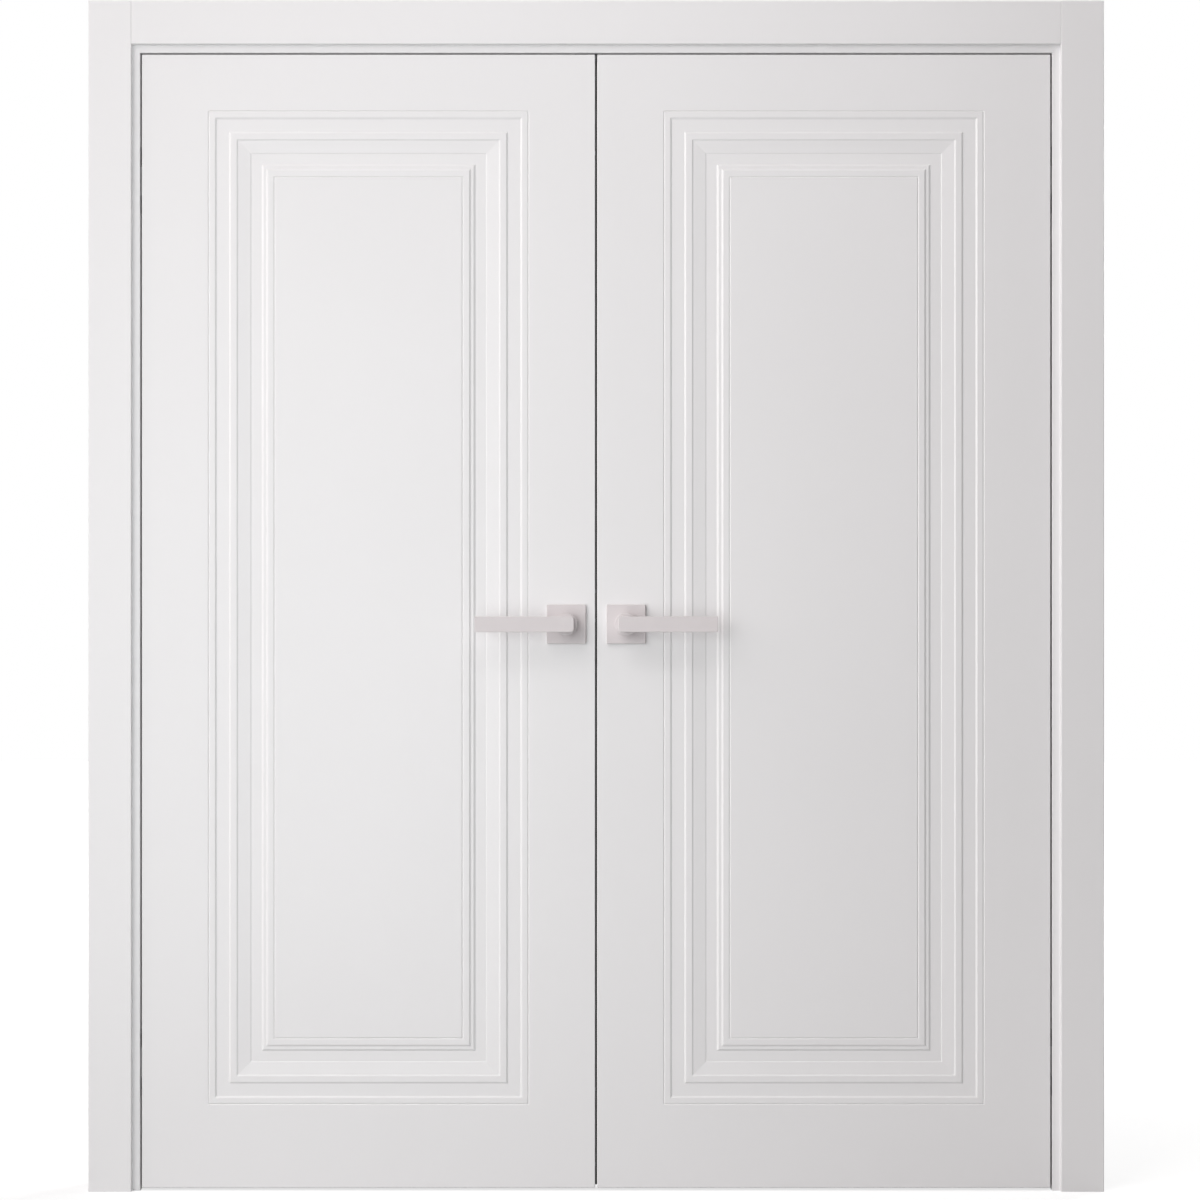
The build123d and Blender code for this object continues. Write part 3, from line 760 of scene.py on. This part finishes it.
@dataclass
class Woodwork:
    """Frame and leaves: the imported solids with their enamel, and caps over the wall screws."""

    palette: Palette
    cap_radius: float = 6.5 * MM
    cap_rise: float = 1.2 * MM
    cap_steps: int = 32
    cap_offset: float = 1.5 * MM

    # Where the jambs are drilled for the wall screws: heights in the sides, and X in the head.
    side_levels: tuple[float, ...] = (0.250, 0.850, 1.250, 1.850)
    head_reach: float = 0.400

    # Shares of a cap's radius and rise, from the middle of its foot to the middle of its dome.
    cap_profile: tuple[Point, ...] = (
        (0.0, -1.0), (0.9, -1.0), (1.0, 0.0), (1.0, 0.3), (0.9, 0.75), (0.6, 1.0), (0.0, 1.05),
    )

    def paint(self) -> None:
        """Give every wooden node its enamel and the seals their rubber."""
        for name, node in frame["nodes"].items():
            if name.endswith("_leaf"):
                self.palette.dress(node, self.palette.door)
            elif name.endswith(("_jamb", "_casing")):
                self.palette.dress(node, self.palette.frame)
            elif name.endswith("_jamb_seal"):
                self.palette.dress(node, self.palette.seal)

    def cap(self) -> bmesh.types.BMesh:
        """Low domed cap for one screw hole, lying on the XY plane."""
        profile = [(self.cap_radius * across, self.cap_rise * up) for across, up in self.cap_profile]
        return turned(profile, steps=self.cap_steps)

    def screw_line(self, side: Side) -> float:
        """Where the wall screws pass through the stop, behind its seal.

        Args:
            side: Side of the frame.

        Returns:
            Their Y in metres.
        """
        seal_low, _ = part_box(f"{side.word}_jamb_seal")
        _, jamb_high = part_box(f"{side.word}_jamb")
        return (seal_low.y + jamb_high.y) / 2 + self.cap_offset

    def caps(self) -> None:
        """Cover the heads of the wall screws in the stops."""
        for side in Side:
            low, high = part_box(f"{side.word}_jamb")
            stop_x = low.x if side is Side.RIGHT else high.x
            facing = Vector((-side.value, 0.0, 0.0))
            shape = bmesh.new()
            for z in self.side_levels:
                join_into(shape, stood(self.cap(), Vector((stop_x, self.screw_line(side), z)), facing))
            made(f"{side.word}_screw_caps", shape, "frame", self.palette, self.palette.frame)
        head_low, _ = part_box("head_jamb")
        shape = bmesh.new()
        for x in (-self.head_reach, self.head_reach):
            point = Vector((x, self.screw_line(Side.RIGHT), head_low.z))
            join_into(shape, stood(self.cap(), point, DOWN))
        made("head_screw_caps", shape, "frame", self.palette, self.palette.frame)

    def build(self) -> None:
        """Dress the woodwork and add its caps."""
        self.paint()
        self.caps()


@dataclass
class LeverHandle:
    """Rose and lever on one face of one leaf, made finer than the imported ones."""

    palette: Palette
    side: Side
    face: Face
    rose_corner: float = 1.6 * MM
    rose_edge: float = 1.2 * MM
    journal: float = 12.0 * MM
    journal_start: float = 2.0 * MM
    drum: float = 19.75 * MM
    drum_edge: float = 0.8 * MM
    drum_to_bar: float = 6.0 * MM
    neck: float = 13.0 * MM
    neck_root: float = 1.5 * MM
    neck_root_steps: int = 8
    stem_steps: int = 96
    bar_near: float = 14.0 * MM
    bar_thick: float = 11.0 * MM
    bar_corner: float = 5.5 * MM
    bar_edge: float = 1.2 * MM
    tip_reach: float = 2.0 * MM
    play: float = 0.3 * MM
    grub: Screw = Screw(
        radius=2.0 * MM, rise=0.15 * MM, recess=1.1 * MM, recess_depth=0.14 * MM, drive=Drive.HEX
    )

    @property
    def word(self) -> str:
        """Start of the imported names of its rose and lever."""
        return f"{self.side.word}_{self.face.word}"

    def rose(self) -> None:
        """Square rose with softened corners."""
        low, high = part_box(f"{self.word}_rose")
        shape = block(low, high)
        soften(shape, [e for e in shape.edges if along(e, 1)], self.rose_corner, steps=5)
        outer = low.y if self.face is Face.FRONT else high.y
        soften(shape, [e for e in shape.edges if on_plane(e, 1, outer)], self.rose_edge, steps=3)
        body = f"{self.side.word}_door"
        obj = made(f"{self.word}_rose_plate", shape, body, self.palette, self.palette.coat)
        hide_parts(f"{self.word}_rose")

    def stem(self, rose_height: float, bar_height: float) -> bmesh.types.BMesh:
        """Journal, drum and neck, turned round the handle's axis from the leaf outwards.

        Args:
            rose_height: Thickness of the rose.
            bar_height: Height of the middle of the bar above the leaf.

        Returns:
            The turned shape, standing on the XY plane.
        """
        seat = rose_height + self.play
        top = bar_height - self.bar_thick / 2 - self.drum_to_bar
        start = self.journal_start
        root = self.neck_root
        profile = [(0.0, start), (self.journal, start), (self.journal, seat), (self.drum, seat)]
        profile += eased((self.drum, top), (self.drum, seat), (self.neck, top), self.drum_edge)
        for step in range(self.neck_root_steps + 1):
            angle = math.pi / 2 * step / self.neck_root_steps
            reach = self.neck + root - root * math.sin(angle)
            profile.append((reach, top + root - root * math.cos(angle)))
        profile += [(self.neck, bar_height), (0.0, bar_height)]
        return turned(profile, steps=self.stem_steps)

    def bar(self, low: Vector, high: Vector) -> bmesh.types.BMesh:
        """Flat grip with rounded near corners and softened edges.

        Args:
            low: Lowest corner of the grip.
            high: Highest corner of the grip.

        Returns:
            The grip in the row frame.
        """
        shape = block(low, high)
        near = low.x if self.side is Side.RIGHT else high.x
        corners = [e for e in shape.edges if along(e, 1) and on_plane(e, 0, near)]
        soften(shape, corners, self.bar_corner, steps=8)
        rims = [e for e in shape.edges if on_plane(e, 1, low.y) or on_plane(e, 1, high.y)]
        soften(shape, rims, self.bar_edge, steps=4)
        return shape

    def bar_half(self, tip: float) -> float:
        """Half the height of the grip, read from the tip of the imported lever.

        Args:
            tip: X of the grip's far end.

        Returns:
            Half the grip's height in metres.
        """
        low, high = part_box(f"{self.side.word}_spindle")
        axis_z = (low.z + high.z) / 2
        corners = frame["nodes"][f"{self.word}_lever"].data.vertices
        return max(abs(v.co.z - axis_z) for v in corners if abs(v.co.x - tip) < self.tip_reach)

    def lever(self) -> None:
        """The lever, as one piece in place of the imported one."""
        low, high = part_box(f"{self.word}_lever")
        rose_low, rose_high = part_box(f"{self.word}_rose")
        axis_x = (rose_low.x + rose_high.x) / 2
        axis_z = (rose_low.z + rose_high.z) / 2
        leaf_y = rose_high.y if self.face is Face.FRONT else rose_low.y
        outer = low.y if self.face is Face.FRONT else high.y
        inner = outer - self.face.value * self.bar_thick
        near = axis_x - self.side.value * self.bar_near
        far = high.x if self.side is Side.RIGHT else low.x
        half = self.bar_half(far)
        left, right = sorted((near, far))
        front, back = sorted((inner, outer))
        shape = self.bar(Vector((left, front, axis_z - half)), Vector((right, back, axis_z + half)))
        stem = self.stem(rose_high.y - rose_low.y, abs((inner + outer) / 2 - leaf_y))
        outwards = Vector((0.0, self.face.value, 0.0))
        join_into(shape, stood(stem, Vector((axis_x, leaf_y, axis_z)), outwards))
        obj = made(f"{self.word}_grip", shape, f"{self.side.word}_handle", self.palette, self.palette.coat)
        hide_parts(f"{self.word}_lever")

    def grub_screw(self) -> None:
        """Socket screw under the rose that fixes it to the leaf."""
        low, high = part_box(f"{self.word}_rose")
        point = Vector(((low.x + high.x) / 2, (low.y + high.y) / 2, low.z))
        body = f"{self.side.word}_door"
        screws(f"{self.word}_grub_screw", self.grub, [point], DOWN, body, self.palette, self.palette.lock)

    def build(self) -> None:
        """Make the rose, the lever and the grub screw."""
        self.rose()
        self.lever()
        self.grub_screw()


@dataclass
class ConcealedHinges:
    """The four concealed hinges: packed cups, arms and pins, and the screws in their plates."""

    palette: Palette
    fixing: Screw = Screw(radius=4.3 * MM, rise=0.45 * MM, recess=2.0 * MM, recess_depth=0.40 * MM)
    fixing_reach: float = 46.25 * MM
    adjuster: Screw = Screw(
        radius=2.6 * MM, rise=0.2 * MM, recess=1.4 * MM, recess_depth=0.18 * MM, drive=Drive.HEX
    )
    adjuster_reach: float = 37.5 * MM
    adjuster_offset: float = 8.5 * MM

    def paint(self) -> None:
        """Give the cups, arms and pins their metals."""
        for name, node in frame["nodes"].items():
            if name.endswith("_pins"):
                self.palette.dress(node, self.palette.pin)
            elif "_hinge_" in name:
                self.palette.dress(node, self.palette.hinge)

    def cup_screws(self, side: Side, level: Level, owner: Owner) -> None:
        """Screws of one cup's plate.

        Args:
            side: Side of the pair.
            level: Which hinge of that side.
            owner: What the cup is let into.
        """
        word = f"{side.word}_{level.value}_{owner.value}_hinge"
        low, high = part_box(f"{word}_cup")
        outwards = -side.value if owner is Owner.JAMB else side.value
        x = low.x if outwards < 0 else high.x
        y = (low.y + high.y) / 2
        z = (low.z + high.z) / 2
        facing = Vector((outwards, 0.0, 0.0))
        body = "frame" if owner is Owner.JAMB else f"{side.word}_door"
        points = [Vector((x, y, z + reach)) for reach in (-self.fixing_reach, self.fixing_reach)]
        screws(f"{word}_screws", self.fixing, points, facing, body, self.palette, self.palette.pin)
        y += self.adjuster_offset
        points = [Vector((x, y, z + reach)) for reach in (-self.adjuster_reach, self.adjuster_reach)]
        screws(f"{word}_adjusters", self.adjuster, points, facing, body, self.palette, self.palette.pin)

    def build(self) -> None:
        """Dress the hinges and add their screws."""
        self.paint()
        for side in Side:
            for level in Level:
                for owner in Owner:
                    self.cup_screws(side, level, owner)


@dataclass
class LockSet:
    """Latch, strike, flush bolts and keeper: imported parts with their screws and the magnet."""

    palette: Palette
    screw: Screw = Screw(radius=3.6 * MM, rise=0.5 * MM, recess=1.9 * MM, recess_depth=0.45 * MM)
    screw_inset: float = 9.0 * MM
    strike_depth: float = 12.0 * MM
    magnet_radius: float = 4.5 * MM
    magnet_length: float = 3.0 * MM
    magnet_edge: float = 0.4 * MM
    magnet_steps: int = 40
    ribs: int = 5
    rib_pitch: float = 1.8 * MM
    rib_rise: float = 0.3 * MM
    rib_reach: float = 3.0 * MM
    rib_half: float = 0.4 * MM
    rib_edge: float = 0.15 * MM

    def paint(self) -> None:
        """Give every lock part its satin steel."""
        for name, node in frame["nodes"].items():
            if name.startswith(("latch", "strike")) or "bolt" in name or name.endswith("_spindle"):
                self.palette.dress(node, self.palette.lock)

    def plate_screws(self, node: str, side: Side, body: str) -> None:
        """Screws at both ends of an upright face plate.

        Args:
            node: Packed plate.
            side: Leaf whose meeting edge it is let into.
            body: Body that carries it.
        """
        low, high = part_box(node)
        x = low.x if side is Side.RIGHT else high.x
        y = (low.y + high.y) / 2
        points = [Vector((x, y, z)) for z in (low.z + self.screw_inset, high.z - self.screw_inset)]
        facing = Vector((-side.value, 0.0, 0.0))
        screws(f"{node}_screws", self.screw, points, facing, body, self.palette, self.palette.lock)

    def keeper_screws(self) -> None:
        """Screws of the keeper under the head jamb."""
        low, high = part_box("head_bolt_keeper")
        y = (low.y + high.y) / 2
        points = [Vector((x, y, low.z)) for x in (low.x + self.screw_inset, high.x - self.screw_inset)]
        screws("head_bolt_keeper_screws", self.screw, points, DOWN, "frame", self.palette, self.palette.lock)

    def magnet(self) -> None:
        """Round magnet at the bottom of the strike's pocket, which draws the latch bolt out."""
        _, strike_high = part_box("strike_plate")
        bolt_low, bolt_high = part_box("latch_bolt")
        radius = self.magnet_radius
        length = self.magnet_length
        profile = [(0.0, 0.0), (radius, 0.0)]
        profile += eased((radius, length), (radius, 0.0), (0.0, length), self.magnet_edge, steps=3)
        profile.append((0.0, length))
        foot_x = strike_high.x - self.strike_depth - length
        point = Vector((foot_x, 0.0, (bolt_low.z + bolt_high.z) / 2))
        shape = stood(turned(profile, steps=self.magnet_steps), point, Vector((1.0, 0.0, 0.0)))
        made("strike_magnet", shape, "left_door", self.palette, self.palette.lock)

    def thumb_ribs(self, node: str, body: str) -> None:
        """Grip ribs across the thumb piece of a flush bolt.

        Args:
            node: Packed bolt.
            body: Body that carries it.
        """
        _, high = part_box(node)
        middle = self.thumb_middle(node, high.x)
        shape = bmesh.new()
        for number in range(self.ribs):
            z = middle + (number - self.ribs // 2) * self.rib_pitch
            rib = block(
                Vector((high.x - self.rib_rise, -self.rib_reach, z - self.rib_half)),
                Vector((high.x + self.rib_rise, self.rib_reach, z + self.rib_half)),
            )
            soften(rib, rib.edges[:], self.rib_edge, steps=2)
            join_into(shape, rib)
        made(f"{node}_ribs", shape, body, self.palette, self.palette.lock)

    def thumb_middle(self, node: str, x: float) -> float:
        """Height of the middle of a bolt's thumb piece, read from its outermost corners.

        Args:
            node: Packed bolt.
            x: Plane of the thumb piece's face.

        Returns:
            That height in metres.
        """
        corners = frame["nodes"][node].data.vertices
        levels = [v.co.z for v in corners if abs(v.co.x - x) < SAME_FACE]
        return (min(levels) + max(levels)) / 2

    def build(self) -> None:
        """Dress the lock parts and add what is fixed to them."""
        self.paint()
        self.plate_screws("latch_housing", Side.RIGHT, "right_door")
        self.plate_screws("strike_plate", Side.LEFT, "left_door")
        for level in (Level.UPPER, Level.LOWER):
            self.plate_screws(f"{level.value}_flush_bolt_plate", Side.LEFT, "left_door")
            self.thumb_ribs(f"{level.value}_flush_bolt", f"{level.value}_bolt")
        self.keeper_screws()
        self.magnet()


@dataclass
class MeetingSeal:
    """Strip between the leaves: a base in its groove and two soft lips."""

    palette: Palette
    base_setback: float = 1.5 * MM
    lip_setback: float = 2.0 * MM
    lip: float = 0.5 * MM
    lip_offset: float = 0.8 * MM
    lip_round: float = 0.2 * MM
    slit: float = 0.2 * MM

    def build(self) -> None:
        """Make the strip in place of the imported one."""
        low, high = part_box("meeting_seal")
        other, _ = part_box("right_leaf")
        tip = other.x - self.slit
        y = (low.y + high.y) / 2
        shape = block(low, Vector((high.x - self.base_setback, high.y, high.z)))
        for sign in (-1, 1):
            middle = y + sign * self.lip_offset
            lip = block(
                Vector((high.x - self.lip_setback, middle - self.lip / 2, low.z)),
                Vector((tip, middle + self.lip / 2, high.z)),
            )
            rims = [e for e in lip.edges if along(e, 2) and on_plane(e, 0, tip)]
            soften(lip, rims, self.lip_round, steps=3)
            join_into(shape, lip)
        obj = made("meeting_seal_strip", shape, "left_door", self.palette, self.palette.seal)
        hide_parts("meeting_seal")


# Studio


@dataclass(frozen=True)
class Lamp:
    """One soft rectangular lamp."""

    name: str
    place: Place
    aim: Place
    size: Point
    power: float
    tint: Colour = (1.0, 1.0, 1.0)

    def hang(self) -> None:
        """Put the lamp into the scene."""
        data = bpy.data.lights.new(self.name, "AREA")
        data.shape = "RECTANGLE"
        data.size = self.size[0]
        data.size_y = self.size[1]
        data.energy = self.power
        data.color = self.tint
        obj = bpy.data.objects.new(self.name, data)
        obj.location = self.place
        obj.rotation_mode = "QUATERNION"
        obj.rotation_quaternion = (Vector(self.aim) - Vector(self.place)).to_track_quat("-Z", "Y")
        obj.visible_camera = False
        bpy.context.scene.collection.objects.link(obj)


@dataclass
class Studio:
    """Floor, lamps, surrounding light and the photograph's camera."""

    ambient: float = 0.10
    ambient_tint: Colour = (1.0, 0.967, 0.958)
    floor_reach: float = 14.0
    sensor: float = 36.0
    sight: float = 100.0
    lens: float = 91.8
    distance: float = 5.4
    leaf_face: float = -0.020
    eye_height: float = 1.049
    shift: Point = (0.0032, -0.0031)
    lamps: tuple[Lamp, ...] = (
        Lamp("window", (-7.5, -6.5, 8.0), (0.0, 0.0, 1.0), (14.0, 14.0), 1190.0, (1.0, 0.940, 0.935)),
        Lamp("side_window", (-2.6, -3.0, 1.2), (-0.6, 0.0, 0.8), (1.2, 2.4), 16.0, (0.94, 0.99, 1.0)),
        Lamp("near_window", (-0.6, -2.2, 0.9), (-0.4, 0.0, 0.8), (1.0, 2.0), 14.5, (0.93, 0.99, 1.0)),
        Lamp("top_light", (0.0, -1.3, 2.5), (0.0, 0.0, 2.05), (1.8, 0.3), 3.4, (0.97, 0.985, 1.0)),
        Lamp("back_window", (4.0, 4.8, 3.4), (0.0, 0.0, 1.0), (3.0, 3.0), 340.0),
    )

    def surround(self) -> None:
        """Even light from all round, seen as plain white."""
        world = bpy.data.worlds.new("surround")
        world.use_nodes = True
        tree = world.node_tree
        tree.nodes.clear()
        path = tree.nodes.new("ShaderNodeLightPath")
        seen = tree.nodes.new("ShaderNodeMath")
        seen.operation = "MAXIMUM"
        either = tree.nodes.new("ShaderNodeMath")
        either.operation = "MAXIMUM"
        soft = tree.nodes.new("ShaderNodeBackground")
        soft.inputs["Color"].default_value = (*self.ambient_tint, 1.0)
        soft.inputs["Strength"].default_value = self.ambient
        white = tree.nodes.new("ShaderNodeBackground")
        white.inputs["Color"].default_value = (1.0, 1.0, 1.0, 1.0)
        white.inputs["Strength"].default_value = 1.0
        mix = tree.nodes.new("ShaderNodeMixShader")
        out = tree.nodes.new("ShaderNodeOutputWorld")
        tree.links.new(path.outputs["Is Camera Ray"], seen.inputs[0])
        tree.links.new(path.outputs["Is Glossy Ray"], seen.inputs[1])
        tree.links.new(seen.outputs["Value"], either.inputs[0])
        tree.links.new(path.outputs["Is Transmission Ray"], either.inputs[1])
        tree.links.new(either.outputs["Value"], mix.inputs["Fac"])
        tree.links.new(soft.outputs["Background"], mix.inputs[1])
        tree.links.new(white.outputs["Background"], mix.inputs[2])
        tree.links.new(mix.outputs["Shader"], out.inputs["Surface"])
        bpy.context.scene.world = world

    def floor(self) -> None:
        """Pale floor under the frame."""
        shape = bmesh.new()
        bmesh.ops.create_grid(shape, x_segments=1, y_segments=1, size=self.floor_reach)
        mesh = bpy.data.meshes.new("floor")
        shape.to_mesh(mesh)
        shape.free()
        obj = bpy.data.objects.new("floor", mesh)
        obj.data.materials.append(FloorFinish().material())
        bpy.context.scene.collection.objects.link(obj)

    def camera(self) -> None:
        """Camera straight in front of the doors."""
        data = bpy.data.cameras.new("camera")
        data.lens = self.lens
        data.sensor_width = self.sensor
        data.shift_x, data.shift_y = self.shift
        data.clip_end = self.sight
        obj = bpy.data.objects.new("camera", data)
        obj.location = (0.0, self.leaf_face - self.distance, self.eye_height)
        obj.rotation_euler = (math.pi / 2, 0.0, 0.0)
        bpy.context.scene.collection.objects.link(obj)
        bpy.context.scene.camera = obj

    def build(self) -> None:
        """Set up the whole studio."""
        bpy.context.scene.view_settings.view_transform = "Standard"
        self.surround()
        self.floor()
        for lamp in self.lamps:
            lamp.hang()
        self.camera()


class Assembly(Protocol):
    """Anything that the main function can build."""

    def build(self) -> None:
        """Make and dress its pieces."""


def main() -> None:
    """Build every sub-assembly in order and report the pieces that it adds."""
    logging.basicConfig(level=logging.INFO, format="%(message)s")
    palette = Palette()
    assemblies: dict[str, Assembly] = {
        "woodwork": Woodwork(palette),
        "concealed hinges": ConcealedHinges(palette),
        "lock parts": LockSet(palette),
        "meeting seal": MeetingSeal(palette),
    }
    for side in Side:
        for face in Face:
            assemblies[f"{side.word} {face.word} handle"] = LeverHandle(palette, side, face)
    assemblies["studio"] = Studio()
    for name, assembly in assemblies.items():
        before = set(bpy.data.objects.keys())
        assembly.build()
        added = [key for key in bpy.data.objects.keys() if key not in before]
        log.info("%s: %s", name, ", ".join(added))


if __name__ == "__main__":
    main()
